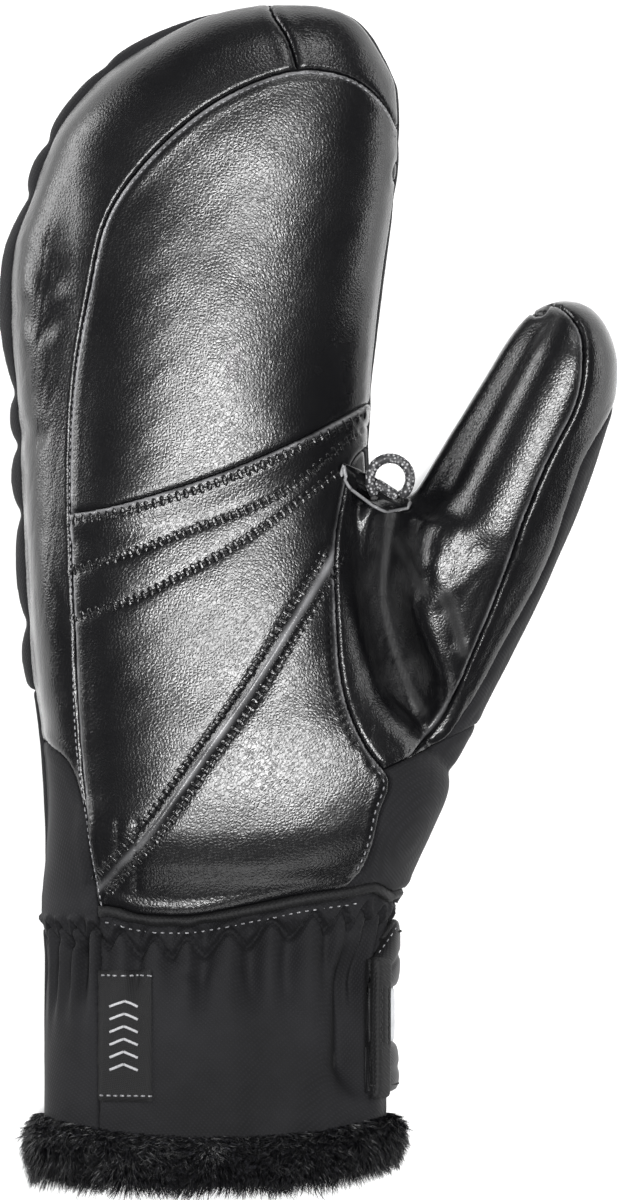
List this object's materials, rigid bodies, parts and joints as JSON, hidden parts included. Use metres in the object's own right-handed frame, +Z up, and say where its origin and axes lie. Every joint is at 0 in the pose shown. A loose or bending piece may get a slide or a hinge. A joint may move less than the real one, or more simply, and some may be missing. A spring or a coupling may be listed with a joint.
{
  "type": "ski mitten",
  "caption": "Right-hand leather ski mitten with a quilted back, a gathered softshell cuff edged in pile, a wrist strap and a pole loop.",
  "frame": {"origin": "middle of the bounding box in plan, on the surface that the back lies on", "axes": "+Y from the cuff to the fingertips, +X to the thumb, +Z up through the palm, which faces up"},
  "size_m": [0.1544, 0.2964, 0.0556],
  "materials": {
    "leather": "fine pebble grain with a soft shine",
    "softshell": "matt stretch woven",
    "pile": "long soft pile",
    "webbing": "matt ribbed webbing",
    "pale_band": "pale woven tape",
    "label": "woven tape with a fine rib",
    "cord": "mottled braid"
  },
  "bodies": {
    "root": {"palm_upper": "leather", "palm_overlay": "leather", "finger_gusset": "leather", "tip_gusset": "leather", "thumb_front": "leather", "thumb_side": "leather", "loop_patch": "leather", "quilted_back": "softshell", "back_yoke": "softshell", "side_panel": "softshell", "thumb_back": "softshell", "heel_panel": "softshell", "cuff_front": "softshell", "cuff_back": "softshell", "wrist_binding": "softshell", "fur_trim": "pile", "wrist_strap": "webbing", "strap_end": "webbing", "reflective_band": "pale_band", "label": "label", "loop_sleeve": "cord", "loop_cord": "cord"}
  },
  "joints": []
}
